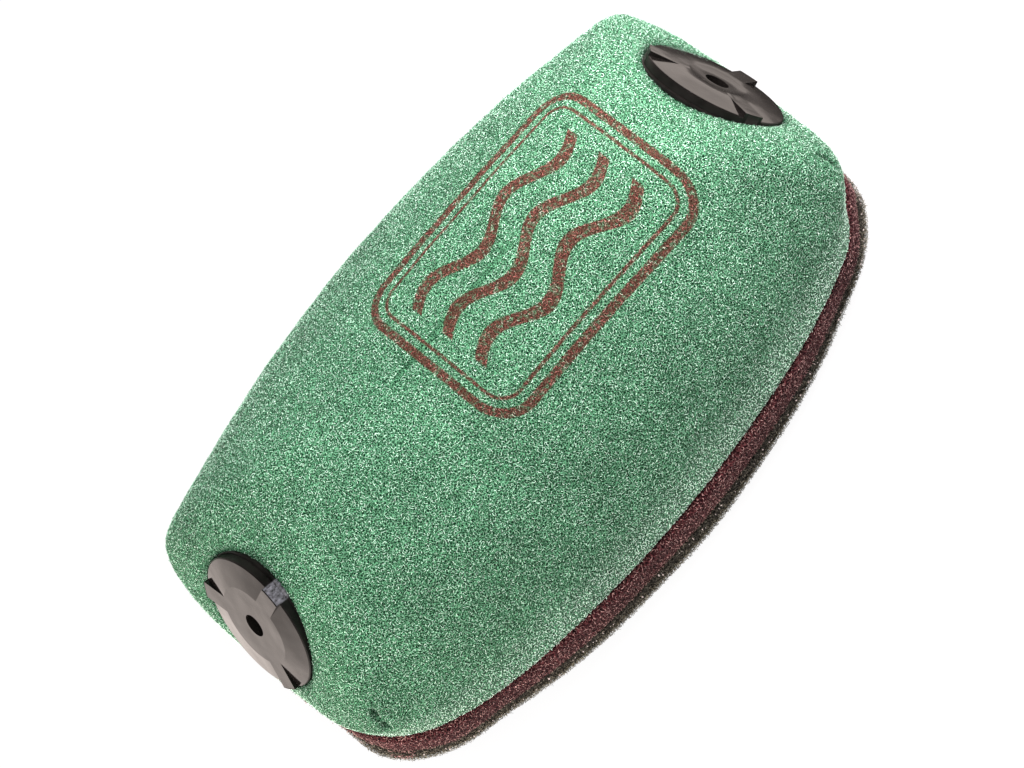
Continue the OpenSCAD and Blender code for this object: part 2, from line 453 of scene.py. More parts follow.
def surface_normals(rings):
    """Unit normals of a stack of rings that runs up the outside of a dome."""
    up = np.gradient(rings, axis=0)
    round_ = np.roll(rings, -1, axis=1) - np.roll(rings, 1, axis=1)
    normal = np.cross(up, round_)
    return normal / (np.linalg.norm(normal, axis=2)[..., None] + TINY)


def lumpy(points, lump):
    """Smooth noise at each point, with lumps of that height and size."""
    shift = Vector((lump.offset, -lump.offset, 0.5 * lump.offset))
    return lump.height * np.array([noise.noise(Vector(p) / lump.size + shift) for p in points])


class Seat:
    """Frame of one cap: the middle of its seat, its axis, and the two directions across it."""

    def __init__(self, side):
        s = (CAP_HEIGHT - DOME_FOOT) / (DOME_CROWN - DOME_FOOT)
        seat_x = (OUTER_PLAN.half_length + END_BOW) * end_share(s) - SEAT_DEPTH
        self.middle = np.array([side * seat_x, 0.0, CAP_HEIGHT])
        self.axis = np.array([side * math.cos(CAP_TILT), 0.0, math.sin(CAP_TILT)])
        self.up = np.array([-side * math.sin(CAP_TILT), 0.0, math.cos(CAP_TILT)])
        self.across = np.array([0.0, -1.0, 0.0])

    def local(self, points):
        """Distance from the axis, angle from up-slope, and height over the seat of each point."""
        d = points - self.middle
        up = d @ self.up
        across = d @ self.across
        return np.hypot(up, across), np.arctan2(across, up), d @ self.axis

    def world(self, radius, angle, height):
        """Points from their distance, angle and height."""
        arm = np.cos(angle)[:, None] * self.up + np.sin(angle)[:, None] * self.across
        return self.middle + radius[:, None] * arm + height[:, None] * self.axis


SEATS = {"left": Seat(-1), "right": Seat(1)}


def stack_faces(rows, count):
    """Quads between neighbouring rings of a stack."""
    row = np.arange(rows - 1)[:, None] * count
    low = row + np.arange(count)[None, :]
    next_ = row + (np.arange(count)[None, :] + 1) % count
    quads = np.stack([low, low + count, next_ + count, next_], axis=-1)
    return quads.reshape(-1, 4).tolist()


def add_object(name, data):
    """A new object in the scene."""
    piece = bpy.data.objects.new(name, data)
    bpy.context.scene.collection.objects.link(piece)
    return piece


def mesh_piece(name, points, faces, material, smooth_faces=True):
    """A mesh object from points in millimetres."""
    mesh = bpy.data.meshes.new(name)
    mesh.from_pydata((np.asarray(points) * MM).tolist(), [], faces)
    mesh.update()
    if smooth_faces:
        mesh.shade_smooth()
    piece = add_object(name, mesh)
    mesh.materials.append(material)
    return piece


def store(piece, name, values):
    """Stores one value for each point of a piece."""
    attribute = piece.data.attributes.new(name, "FLOAT", "POINT")
    attribute.data.foreach_set("value", values)


def loft(name, rings, material, close=False, first_pole=None, last_pole=None):
    """A skin over a stack of rings, closed on itself or with a point at either end."""
    count = len(rings[0])
    points = np.vstack(rings)
    faces = stack_faces(len(rings), count)
    around = np.arange(count)
    following = (around + 1) % count
    last = (len(rings) - 1) * count
    if close:
        seam = np.stack([last + around, around, following, last + following], axis=-1)
        faces += seam.tolist()
    if first_pole is not None:
        pole = len(points)
        points = np.vstack([points, [first_pole]])
        faces += [[pole, a, b] for a, b in zip(around.tolist(), following.tolist())]
    if last_pole is not None:
        pole = len(points)
        points = np.vstack([points, [last_pole]])
        faces += [[last + a, pole, last + b] for a, b in zip(around.tolist(), following.tolist())]
    piece = mesh_piece(name, points, faces, material)
    form = bmesh.new()
    form.from_mesh(piece.data)
    bmesh.ops.recalc_face_normals(form, faces=form.faces)
    form.to_mesh(piece.data)
    form.free()
    return piece


# Materials

# Sockets of the colour mix, whose names the mix node uses more than once
MIX_SHARE = 0
MIX_FIRST = 6
MIX_SECOND = 7
MIX_RESULT = 2

# Range that most values of smooth noise lie in
NOISE_RANGE = (0.3, 0.7)


class Field:
    """One output of a shader node, which arithmetic works on."""

    def __init__(self, socket):
        self.socket = socket
        self.tree = socket.id_data

    def step(self, operation, *others):
        """Result of one step of arithmetic."""
        inputs = dict(enumerate((self, *others)))
        return Field(add_node(self.tree, "ShaderNodeMath", inputs, operation=operation).outputs["Value"])

    __add__ = partialmethod(step, "ADD")
    __sub__ = partialmethod(step, "SUBTRACT")
    __mul__ = partialmethod(step, "MULTIPLY")
    __truediv__ = partialmethod(step, "DIVIDE")
    __abs__ = partialmethod(step, "ABSOLUTE")
    at_least = partialmethod(step, "MAXIMUM")
    at_most = partialmethod(step, "MINIMUM")

    def mapped(self, source, target, easing="LINEAR"):
        """The value brought from one range to another, and held at its ends."""
        inputs = {"Value": self}
        inputs.update(zip(("From Min", "From Max", "To Min", "To Max"), (*source, *target)))
        node = add_node(self.tree, "ShaderNodeMapRange", inputs, interpolation_type=easing)
        return Field(node.outputs["Result"])

    def under(self, low, high):
        """1 where the value is under low, falling to 0 at high."""
        return self.mapped((low, high), (1.0, 0.0), "SMOOTHSTEP")


def hypot(a, b):
    """Length of an arrow with these two parts."""
    return (a * a + b * b).step("SQRT")


def fill(tree, node, inputs):
    """Sets a node's inputs to values or to other nodes' outputs."""
    for socket, value in inputs.items():
        if isinstance(value, Field):
            tree.links.new(value.socket, node.inputs[socket])
        else:
            node.inputs[socket].default_value = value


def add_node(tree, kind, inputs=None, **settings):
    """A node with its settings and inputs."""
    node = tree.nodes.new(kind)
    for key, value in settings.items():
        setattr(node, key, value)
    fill(tree, node, inputs or {})
    return node


def new_material(name):
    """An empty material, its tree and its surface shader."""
    material = bpy.data.materials.new(name)
    material.use_nodes = True
    tree = material.node_tree
    return material, tree, tree.nodes["Principled BSDF"]


def object_place(tree):
    """Place of a point in its piece."""
    return Field(add_node(tree, "ShaderNodeTexCoord").outputs["Object"])


def object_axes(tree):
    """Coordinates of a point in its piece."""
    return map(Field, add_node(tree, "ShaderNodeSeparateXYZ", {"Vector": object_place(tree)}).outputs)


def mix_colours(tree, share, first, second, blend="MIX"):
    """A mix of two colours."""
    inputs = {MIX_SHARE: share, MIX_FIRST: first, MIX_SECOND: second}
    node = add_node(tree, "ShaderNodeMix", inputs, data_type="RGBA", blend_type=blend)
    return Field(node.outputs[MIX_RESULT])


def vector_step(tree, operation, *values, output="Vector"):
    """Result of one step of vector arithmetic."""
    node = add_node(tree, "ShaderNodeVectorMath", dict(enumerate(values)), operation=operation)
    return Field(node.outputs[output])


def soft_noise(tree, place, scale, detail, roughness=0.5, output="Fac"):
    """Smooth noise, as a value or a colour."""
    inputs = {"Vector": place, "Scale": scale, "Detail": detail, "Roughness": roughness}
    return Field(add_node(tree, "ShaderNodeTexNoise", inputs).outputs[output])


def bump(tree, height, strength, distance):
    """Normal bent by fine relief."""
    inputs = {"Height": height, "Strength": strength, "Distance": distance}
    return Field(add_node(tree, "ShaderNodeBump", inputs).outputs["Normal"])


def mark(tree, name):
    """A value stored on the mesh, such as how close a point lies to the piece's lower edge."""
    return Field(add_node(tree, "ShaderNodeAttribute", attribute_name=name).outputs["Fac"])


def cell_walls(tree, place, cell, width):
    """Mask of the walls between random cells of that size, with a width as a share of it."""
    inputs = {"Vector": place, "Scale": 1.0 / cell, "Randomness": 1.0}
    cells = add_node(tree, "ShaderNodeTexVoronoi", inputs, feature="DISTANCE_TO_EDGE")
    return Field(cells.outputs["Distance"]).under(0.25 * width, width)


def warped_place(tree, cell):
    """Place of a point, bent a little so that cells aren't all alike."""
    place = object_place(tree)
    warp = soft_noise(tree, place, scale=0.35 / cell, detail=1.0, output="Color")
    centred = vector_step(tree, "SUBTRACT", warp, (0.5, 0.5, 0.5))
    reach = 0.9 * cell
    bent = vector_step(tree, "MULTIPLY", centred, (reach, reach, reach))
    return vector_step(tree, "ADD", place, bent)


def blotches(tree, colour, tones):
    """The colour, darker and lighter in soft patches of a few millimetres and of a few centimetres."""
    place = object_place(tree)
    for scale in (60.0, 380.0):
        tone = soft_noise(tree, place, scale, detail=2.0).mapped(NOISE_RANGE, tones)
        colour = mix_colours(tree, 1.0, colour, tone, "MULTIPLY")
    return colour


def line_mask(distance, width):
    """1 within a drawn line's width of a distance field's zero, with a soft edge."""
    return abs(distance).under(0.5 * width - PRINT_SOFTNESS, 0.5 * width + PRINT_SOFTNESS)


def print_mask(tree):
    """Mask of the print on the green foam."""
    x, y, z = object_axes(tree)
    u = x / MM - PRINT_PLACE[0]
    v = y / MM - PRINT_PLACE[1]
    along = abs(u) - (PRINT_HALF_LENGTH - PRINT_CORNER)
    across = abs(v) - (PRINT_HALF_WIDTH - PRINT_CORNER)
    outside = hypot(along.at_least(0.0), across.at_least(0.0))
    frame = outside + along.at_least(across).at_most(0.0) - PRINT_CORNER
    inner_frame = line_mask(frame + INNER_FRAME_GAP, INNER_FRAME_LINE)
    level = v - (u * (2.0 * math.pi / WAVE_LENGTH)).step("SINE") * WAVE_RISE
    waves = line_mask(level.step("WRAP", 0.5 * WAVE_PITCH, -0.5 * WAVE_PITCH), WAVE_LINE)
    rows = abs(level).under(*(WAVE_PITCH * end for end in WAVE_ROWS_END))
    ends = abs(u).under(WAVE_REACH - WAVE_END_SOFTNESS, WAVE_REACH + WAVE_END_SOFTNESS)
    lines = line_mask(frame, FRAME_LINE).at_least(inner_frame).at_least(waves * rows * ends)
    return lines * z.mapped(PRINT_FADE_Z, UNIT)


def inked(tree, colour, ink, cover):
    """The colour with the print on it, worn through in small spots."""
    spots = soft_noise(tree, object_place(tree), scale=900.0, detail=2.0)
    worn_cover = 0.45 * cover
    hold = spots.mapped((0.35, 0.5), (worn_cover, cover))
    return mix_colours(tree, print_mask(tree) * hold, colour, ink)


class Foam(NamedTuple):
    """Size of one foam's cells in metres, and its colours from its pores to its brightest struts; pore and
    body colours hold painted shade of the foam's depth.
    """
    cell: float
    pore: tuple
    body: tuple
    wall: tuple
    dim: tuple
    bright: tuple


GREEN = Foam(
    0.0006, (0.003, 0.018, 0.008, 1), (0.011, 0.048, 0.022, 1), (0.08, 0.24, 0.125, 1),
    (0.1, 0.345, 0.18, 1), (0.74, 1.0, 0.83, 1),
)
MAROON = Foam(
    0.0011, (0.008, 0.002, 0.003, 1), (0.03, 0.008, 0.01, 1), (0.085, 0.023, 0.025, 1),
    (0.045, 0.01, 0.012, 1), (0.72, 0.43, 0.39, 1),
)
BLACK = Foam(
    0.0009, (0.006, 0.006, 0.005, 1), (0.024, 0.022, 0.017, 1), (0.05, 0.047, 0.036, 1),
    (0.022, 0.021, 0.016, 1), (0.26, 0.24, 0.18, 1),
)
FRINGE = BLACK._replace(dim=(0.05, 0.047, 0.034, 1), bright=(0.3, 0.28, 0.2, 1))
INK = GREEN._replace(body=(0.06, 0.014, 0.012, 1), dim=(0.1, 0.018, 0.016, 1), bright=(0.44, 0.17, 0.14, 1))

# Walls of the cells, as shares of a cell, and the deeper layer of cells under them
TOP_WALL = 0.16
DEEP_WALL = 0.26
DEEP_SHIFT = (0.31, 0.17, 0.23)
DEEP_CELL = 0.8
DEEP_RELIEF = 0.4

# How much the painted bounce light of the pale rim, the painted shade of folds and of the gaps beside the
# caps, and the ink show on skin and on struts
SKIN_RIM_LIGHT = 0.04
SKIN_PAINTED_SHADE = 0.55
SKIN_INK = 0.85
STRUT_RIM_LIGHT = 0.8
STRUT_PAINTED_SHADE = 0.5
STRUT_INK = 1.0
TONE_LIMIT = 1.1


def foam_skin(name, foam, ink=None):
    """Inside of open-cell foam: dim struts in two layers over dark pores, the foam's own colour darkened
    with painted shade of its depth.
    """
    material, tree, shader = new_material(name)
    near = warped_place(tree, foam.cell)
    deep = vector_step(tree, "ADD", near, DEEP_SHIFT)
    top_walls = cell_walls(tree, near, foam.cell, TOP_WALL)
    deep_walls = cell_walls(tree, deep, DEEP_CELL * foam.cell, DEEP_WALL)
    # Pores and the deeper layer of cells darker: painted shade deep in the foam
    colour = mix_colours(tree, deep_walls, foam.pore, foam.body)
    colour = mix_colours(tree, top_walls, colour, foam.wall)
    colour = blotches(tree, colour, tones=(0.88, 1.1))
    # Painted bounce light: paler towards the lower edge
    colour = mix_colours(tree, mark(tree, "edge") * SKIN_RIM_LIGHT, colour, foam.bright)
    # Painted shade in creases and in the gaps beside the caps
    colour = mix_colours(tree, mark(tree, "fold") * SKIN_PAINTED_SHADE, colour, foam.pore)
    if ink:
        colour = inked(tree, colour, ink.body, SKIN_INK)
    grain = soft_noise(tree, object_place(tree), scale=2.2 / foam.cell, detail=1.0)
    fleck = grain.mapped(NOISE_RANGE, (0.2, 1.8))
    fill(tree, shader, {
        "Base Color": mix_colours(tree, 1.0, colour, fleck, "MULTIPLY"),
        "Normal": bump(tree, top_walls + deep_walls * DEEP_RELIEF, strength=0.8, distance=0.4 * foam.cell),
        "Roughness": top_walls.mapped(UNIT, (0.95, 0.75)),
        "Specular IOR Level": 0.25,
    })
    return material


def foam_struts(name, foam, ink=None):
    """Struts of open-cell foam, each with its own tone, paler near the lower edge with painted bounce
    light, and darker with painted shade in folds.
    """
    material, tree, shader = new_material(name)
    tone = mark(tree, "tone")
    # Painted bounce light lifts the struts' tone towards the lower edge
    lifted = (mark(tree, "edge") * STRUT_RIM_LIGHT + tone).at_most(TONE_LIMIT)
    colour = mix_colours(tree, lifted, foam.dim, foam.bright)
    # Painted shade in creases and in the gaps beside the caps
    colour = mix_colours(tree, mark(tree, "fold") * STRUT_PAINTED_SHADE, colour, foam.body)
    colour = blotches(tree, colour, tones=(0.9, 1.08))
    if ink:
        colour = inked(tree, colour, mix_colours(tree, tone, ink.dim, ink.bright), STRUT_INK)
    grain = soft_noise(tree, object_place(tree), scale=5000.0, detail=1.0)
    fill(tree, shader, {
        "Base Color": colour,
        "Normal": bump(tree, grain, strength=0.3, distance=0.1 * MM),
        "Roughness": tone.mapped(UNIT, (0.8, 0.5)),
        "Specular IOR Level": 0.4,
    })
    return material


def distance_along(tree, origin, direction):
    """How far a point lies from an origin in one direction, in millimetres."""
    moved = vector_step(tree, "SUBTRACT", object_place(tree), origin * MM)
    return vector_step(tree, "DOT_PRODUCT", moved, direction, output="Value") / MM


def scuffed_end(tree, seat):
    """Mask of scratches on the end of one rib, where the cap was gripped."""
    arm = math.cos(RIB_ANGLE) * seat.up + math.sin(RIB_ANGLE) * seat.across
    aside = distance_along(tree, seat.middle, np.cross(seat.axis, arm))
    height = distance_along(tree, seat.middle, seat.axis)
    out = distance_along(tree, seat.middle, arm)
    on_rib = abs(aside).under(0.5 * RIB_WIDTH - 0.3, 0.5 * RIB_WIDTH + 0.2)
    on_end = out.mapped((RIM_RADIUS - 0.5, RIM_RADIUS - 0.4), UNIT, "SMOOTHSTEP")
    below = height.under(RIB_TOP - 0.35, RIB_TOP - 0.2)
    streaks = add_node(tree, "ShaderNodeCombineXYZ", {"X": aside * 1.2, "Y": height * 0.6})
    place = Field(streaks.outputs["Vector"])
    scratch = soft_noise(tree, place, scale=1.0, detail=8.0, roughness=0.75)
    return on_rib * on_end * below * scratch.mapped((0.38, 0.62), UNIT)


CAP_BLACK = (0.002, 0.0018, 0.0016, 1)
CAP_DUST = (0.009, 0.008, 0.007, 1)
SCUFF_COLOUR = (0.15, 0.153, 0.17, 1)
WALL_DULLNESS = 0.45
SCUFF_DULLNESS = 0.4


def cap_material(name, seat, scuffed):
    """Glossy black moulded plastic with a thin film of dust and a dull wall."""
    material, tree, shader = new_material(name)
    place = object_place(tree)
    dust = soft_noise(tree, place, scale=160.0, detail=8.0, roughness=0.65)
    colour = mix_colours(tree, dust.mapped(NOISE_RANGE, UNIT), CAP_BLACK, CAP_DUST)
    up = distance_along(tree, seat.middle, seat.up)
    radius = hypot(up, distance_along(tree, seat.middle, seat.across))
    wall = radius.mapped((RIM_RADIUS - 0.35, RIM_RADIUS - 0.15), UNIT, "SMOOTHSTEP")
    rough = dust.mapped(NOISE_RANGE, (0.06, 0.16)) + wall * WALL_DULLNESS
    if scuffed:
        scuff = scuffed_end(tree, seat)
        colour = mix_colours(tree, scuff, colour, SCUFF_COLOUR)
        rough = rough + scuff * SCUFF_DULLNESS
    ripple = soft_noise(tree, place, scale=110.0, detail=1.5)
    fill(tree, shader, {
        "Base Color": colour,
        "Roughness": rough,
        "Normal": bump(tree, ripple, strength=1.0, distance=0.3 * MM),
        "IOR": 1.5,
    })
    return material


def grained_material(name, scale, dark, light, strength, distance, roughness):
    """A plain material with grain that varies between two colours."""
    material, tree, shader = new_material(name)
    grain = soft_noise(tree, object_place(tree), scale, detail=4.0)
    fill(tree, shader, {
        "Base Color": mix_colours(tree, grain, dark, light),
        "Normal": bump(tree, grain, strength, distance),
        "Roughness": roughness,
    })
    return material


def washer_material():
    """Satin black plastic with mould grain."""
    return grained_material(
        "washer_plastic", scale=900.0, dark=(0.02, 0.02, 0.02, 1), light=(0.06, 0.06, 0.058, 1),
        strength=0.3, distance=0.2 * MM, roughness=0.45,
    )


def glue_material():
    """Dry, pale contact glue."""
    return grained_material(
        "glue", scale=700.0, dark=(0.45, 0.36, 0.33, 1), light=(0.8, 0.74, 0.7, 1),
        strength=0.6, distance=0.4 * MM, roughness=0.5,
    )


# Struts


def scatter(rings, density, rng, closed):
    """Random points spread evenly over a stack of rings, and the skin's outward normals there."""
    rings = np.asarray(rings)
    following = np.roll(rings, -1, axis=1)
    if not closed:
        rings, following = rings[:, :-1], rings[:, 1:]
    low, high, low_next, high_next = rings[:-1], rings[1:], following[:-1], following[1:]
    facing = np.cross(high - low_next, high_next - low).reshape(-1, 3)
    area = np.linalg.norm(facing, axis=1)
    count = int(density * 0.5 * area.sum())
    pick = rng.choice(len(area), count, p=area / area.sum())
    s, t = rng.random((2, count, 1))
    corners = [c.reshape(-1, 3)[pick] for c in (low, low_next, high, high_next)]
    below = corners[0] + (corners[1] - corners[0]) * s
    above = corners[2] + (corners[3] - corners[2]) * s
    return below + (above - below) * t, facing[pick] / area[pick][:, None]


def tree_of(points):
    """Search tree over points."""
    tree = kdtree.KDTree(len(points))
    for index, point in enumerate(points):
        tree.insert(point, index)
    tree.balance()
    return tree


def thin_out(points, gap):
    """Indices of points that keep at least that gap to each other."""
    tree = tree_of(points)
    free = np.ones(len(points), bool)
    kept = []
    for index, point in enumerate(points):
        if free[index]:
            kept.append(index)
            for _, other, _ in tree.find_range(point, gap):
                free[other] = False
    return np.array(kept)


def links_between(points, links):
    """Pairs of each point and its nearest neighbours, each pair once."""
    tree = tree_of(points)
    pairs = set()
    for index, point in enumerate(points):
        for _, other, _ in tree.find_n(point, links + 1):
            if other != index:
                pairs.add((min(index, other), max(index, other)))
    return np.array(sorted(pairs))


def unit(vectors):
    """Vectors at length one."""
    return vectors / (np.linalg.norm(vectors, axis=1)[:, None] + TINY)


def make_struts(name, rings, net, material, rng, closed=True):
    """A network of thin strips over a skin, with loose hairs, as one piece for each half of the length."""
    depth = max(1.0, (net.high - net.low) / net.gap)
    places, normals = scatter(rings, CROWDING * depth / net.gap ** 2, rng, closed)
    places = places + normals * rng.uniform(net.low, net.high, (len(places), 1))
    kept = thin_out(places, net.gap)
    places, normals = places[kept], normals[kept]
    pairs = links_between(places, net.links)
    first, last, facing = places[pairs[:, 0]], places[pairs[:, 1]], normals[pairs[:, 0]]
    loose = rng.random(len(places)) < net.hair_share
    lean = unit(normals[loose] + HAIR_LEAN * rng.normal(size=(loose.sum(), 3)))
    tips = places[loose] + lean * net.hair_length * rng.uniform(*HAIR_VARIETY, (loose.sum(), 1))
    first = np.vstack([first, places[loose]])
    last = np.vstack([last, tips])
    facing = np.vstack([facing, rng.normal(size=lean.shape)])
    facing = facing + STRIP_TILT * rng.normal(size=facing.shape)
    half = 0.5 * net.width * rng.uniform(*STRIP_VARIETY, (len(first), 1))
    across = unit(np.cross(last - first, facing)) * half
    corners = np.stack([first - across, first + across, last + across, last - across], axis=1)
    corners[..., 2] = np.maximum(corners[..., 2], LEAST_HEIGHT)
    tones = rng.random(len(first)) ** net.tone_power
    pieces = []
    for label, chosen in (("left", first[:, 0] < 0.0), ("right", first[:, 0] >= 0.0)):
        if not chosen.any():
            continue
        strips = corners[chosen].reshape(-1, 3)
        faces = np.arange(len(strips)).reshape(-1, 4).tolist()
        piece = mesh_piece(f"{name}_{label}", strips, faces, material, smooth_faces=False)
        store(piece, "tone", np.repeat(tones[chosen], 4))
        pieces.append(piece)
    return pieces


# Pieces


def cylinder(seat, radius, low, high):
    """A round cutter about a cap's axis, between two heights over its seat."""
    mesh = bpy.data.meshes.new("cutter")
    form = bmesh.new()
    turn = Vector(seat.axis).to_track_quat("Z", "Y").to_matrix().to_4x4()
    middle = (seat.middle + seat.axis * 0.5 * (low + high)) * MM
    bmesh.ops.create_cone(
        form, cap_ends=True, segments=CUTTER_SIDES, radius1=radius * MM, radius2=radius * MM,
        depth=(high - low) * MM, matrix=Matrix.Translation(middle) @ turn,
    )
    form.to_mesh(mesh)
    form.free()
    return add_object("cutter", mesh)


def cut_away(piece, cutters):
    """Takes cutters out of a closed piece."""
    for cutter in cutters:
        modifier = piece.modifiers.new("cut", "BOOLEAN")
        modifier.operation = "DIFFERENCE"
        modifier.solver = "EXACT"
        modifier.object = cutter
    shape = piece.evaluated_get(bpy.context.evaluated_depsgraph_get())
    mesh = bpy.data.meshes.new_from_object(shape)
    piece.modifiers.clear()
    piece.data = mesh
    mesh.set_sharp_from_angle(angle=CUT_SHARP)
    for cutter in cutters:
        bpy.data.objects.remove(cutter)


def holes(radius, top):
    """Cutters for holes of one radius, from the inside up to a height over each cap's seat."""
    return [cylinder(seat, radius + FIT_GAP, CUTTER_FOOT, top) for seat in SEATS.values()]


def press_seats(points):
    """Sinks the green skin under both caps and presses it down round their rims."""
    hug = CAP_RADIUS + CAP_GAP
    for seat in SEATS.values():
        radius, angle, height = seat.local(points)
        near = (radius < PRESS_RADIUS) & (height > PRESS_FOOT)
        snap = near & (np.abs(radius - hug) < SNAP_REACH)
        radius = np.where(snap, hug, radius)
        share = np.clip((radius - hug) / (PRESS_RADIUS - hug), 0.0, 1.0)
        rise = PRESSED_SHARE + (1.0 - PRESSED_SHARE) * (1.0 - (1.0 - share) ** PRESS_POWER)
        pressed = np.where(height > 0.0, height * rise, height)
        under = near & (radius < hug)
        pressed = np.where(under, np.minimum(height, UNDER_CAP), pressed)
        radius = np.where(under, radius * (CAP_RADIUS - UNDER_CAP_INSET) / hug, radius)
        points[near] = seat.world(radius, angle, pressed)[near]
    return points


def crease_depth(points):
    """How far each point sinks into the creases."""
    depth = np.zeros(len(points))
    for crease in CREASES:
        start = np.array(crease.start)
        run = np.array(crease.end) - start
        inward = np.array(crease.inward)
        aside_way = np.cross(run, inward)
        aside = (points - start) @ aside_way / np.linalg.norm(aside_way)
        share = (points - start) @ run / (run @ run)
        near = (share > 0.0) & (share < 1.0) & (np.abs((points - start) @ inward) < CREASE_REACH)
        dent = np.abs(np.sin(math.pi * crease.dents * np.clip(share, 0.0, 1.0))) ** DENT_POWER
        depth += near * crease.depth * dent * np.exp(-((aside / crease.half_width) ** 2))
    return depth


def seat_shade(points):
    """How deep each point lies in the gap beside a cap's wall, from 0 to 1."""
    shade = np.zeros(len(points))
    for seat in SEATS.values():
        radius, _, height = seat.local(points)
        gap = 1.0 - smooth((radius - CAP_RADIUS) / SHADE_REACH)
        shade = np.maximum(shade, np.where(height > -SHADE_REACH, gap, 0.0))
    return shade


def bulge_reach(ring, bulges):
    """How far bulges move each point of a ring outward."""
    reach = np.zeros(len(ring))
    for bulge in bulges:
        aside = np.hypot(ring[:, 0] - bulge.x, ring[:, 1] - bulge.y)
        reach += bulge.out * np.exp(-((aside / bulge.reach) ** 2))
    return reach


def green_rings():
    """The green foam's outside, with its rolled foot, its lumps and creases, and its seats for the caps."""
    rings = np.array(dome_rings(OUTER_PLAN, DOME_FOOT, DOME_CROWN, OUTSIDE_STEP))
    height = rings[..., 2] - DOME_FOOT
    drop = np.clip(1.0 - height / FOOT_ROLL, 0.0, 1.0)
    tuck = 0.5 * FOOT_ROLL * (1.0 - np.sqrt(1.0 - drop ** 2))
    flare = FOOT_FLARE * (1.0 - smooth(height / FLARE_REACH))
    flare *= 1.0 - smooth((np.abs(rings[..., 0]) - FLARE_FADE_FROM) / FLARE_FADE_OVER)
    swell = 1.0 - smooth(height / FOOT_BULGE_RISE)
    for row in range(len(rings)):
        out = outward(rings[row])
        bulge = swell[row] * bulge_reach(rings[row], FOOT_BULGES)
        reach = flare[row] * np.abs(out[:, 1]) - tuck[row] + bulge
        rings[row] += out * reach[:, None]
    normals = surface_normals(rings)
    flat = rings.reshape(-1, 3)
    lumps = sum(lumpy(flat, lump) for lump in LUMPS)
    lumps *= smooth((flat[:, 2] - DOME_FOOT) / LUMP_RISE)
    flat = flat + normals.reshape(-1, 3) * (lumps - crease_depth(flat))[:, None]
    flat = press_seats(flat)
    return flat.reshape(rings.shape)


def make_green_foam(outside, material):
    """Green outer foam: outside, foot and lining as one closed skin."""
    foot_out = outside[0].copy()
    foot_out[:, 2] = GREEN_FOOT
    lining = dome_rings(LINING_PLAN, GREEN_FOOT, LINING_CROWN, LINING_STEP)
    foot = rings_between(foot_out, lining[0], count=5)
    rings = lining[::-1] + foot[::-1] + list(outside)
    piece = loft(
        "green_foam", rings, material,
        first_pole=[0.0, 0.0, LINING_CROWN], last_pole=[0.0, 0.0, DOME_CROWN],
    )
    cut_away(piece, holes(BARREL_RADIUS, CUTTER_TOP))
    return piece


def mark_green(piece):
    """Stores how close each point lies to the green foam's lower edge, for painted bounce light, and how
    deep in a crease or gap, for painted shade.
    """
    places = np.empty(len(piece.data.vertices) * 3)
    piece.data.vertices.foreach_get("co", places)
    places = places.reshape(-1, 3) / MM
    # Painted bounce light, fading out upward from the lower edge
    store(piece, "edge", 1.0 - smooth((places[:, 2] - DOME_FOOT) / RIM_LIGHT_REACH))
    # Painted shade in creases and in the gaps beside the caps
    store(piece, "fold", np.maximum(smooth(crease_depth(places) / CREASE_SHADE_DEPTH), seat_shade(places)))


def edge_tuck(z, foot, top, soft):
    """How far in a wall lies at a height, where its edges are rounded over a soft length."""
    drop = min(1.0, max(0.0, (foot + soft - z) / soft, (z - top + soft) / soft))
    return soft * (1.0 - math.sqrt(1.0 - drop ** 2))


def uneven(ring):
    """A ring of the base with the bulges of its hand-cut edge."""
    return ring + outward(ring) * bulge_reach(ring, BASE_BULGES)[:, None]


def overhung(ring):
    """A ring of the flange, which stands out over the gasket towards the ends."""
    along_x = np.abs(ring[:, 0])
    reach = OVERHANG * np.clip(along_x / OVERHANG_RUN, 0.0, 1.0)
    end = np.where(ring[:, 0] < 0.0, LEFT_END_OVERHANG, RIGHT_END_OVERHANG)
    reach += (end - OVERHANG) * smooth((along_x - END_FROM) / END_RUN)
    return uneven(ring + outward(ring) * reach[:, None])


def flange_rings():
    """The flange's outer wall, with soft edges, from its foot up."""
    foot = FLANGE_SKIN_FOOT
    top = FLANGE_SKIN_TOP
    rings = []
    for z in np.linspace(foot, top, FLANGE_ROWS):
        bulge = FLANGE_SWELL * math.sin(math.pi * (z - foot) / (top - foot)) - FLANGE_OUT
        ring = flat_ring(inset(FLANGE_PLAN, edge_tuck(z, foot, top, FLANGE_SOFT) - bulge), z)
        rings.append(overhung(ring))
    return rings


def make_maroon_foam(outer, material):
    """Maroon inner foam with its flange, as one closed skin."""
    cavity = dome_rings(CAVITY_PLAN, DOME_FOOT, CAVITY_CROWN, CAVITY_STEP)
    wall_low = flat_ring(CAVITY_PLAN, FLANGE_SKIN_FOOT)
    inside = cavity[::-1] + rings_between(cavity[0], wall_low, count=6) + [wall_low]
    bottom = rings_between(wall_low, outer[0], count=14)
    inner = dome_rings(INNER_PLAN, DOME_FOOT, INNER_CROWN, INNER_STEP)
    ledge = rings_between(outer[-1], inner[0], count=9)
    rings = inside + bottom + outer + ledge + inner
    piece = loft(
        "maroon_foam", rings, material,
        first_pole=[0.0, 0.0, CAVITY_CROWN], last_pole=[0.0, 0.0, INNER_CROWN],
    )
    cut_away(piece, holes(BARREL_RADIUS, CUTTER_TOP) + holes(WASHER_RADIUS, -WASHER_DEPTH))
    return piece


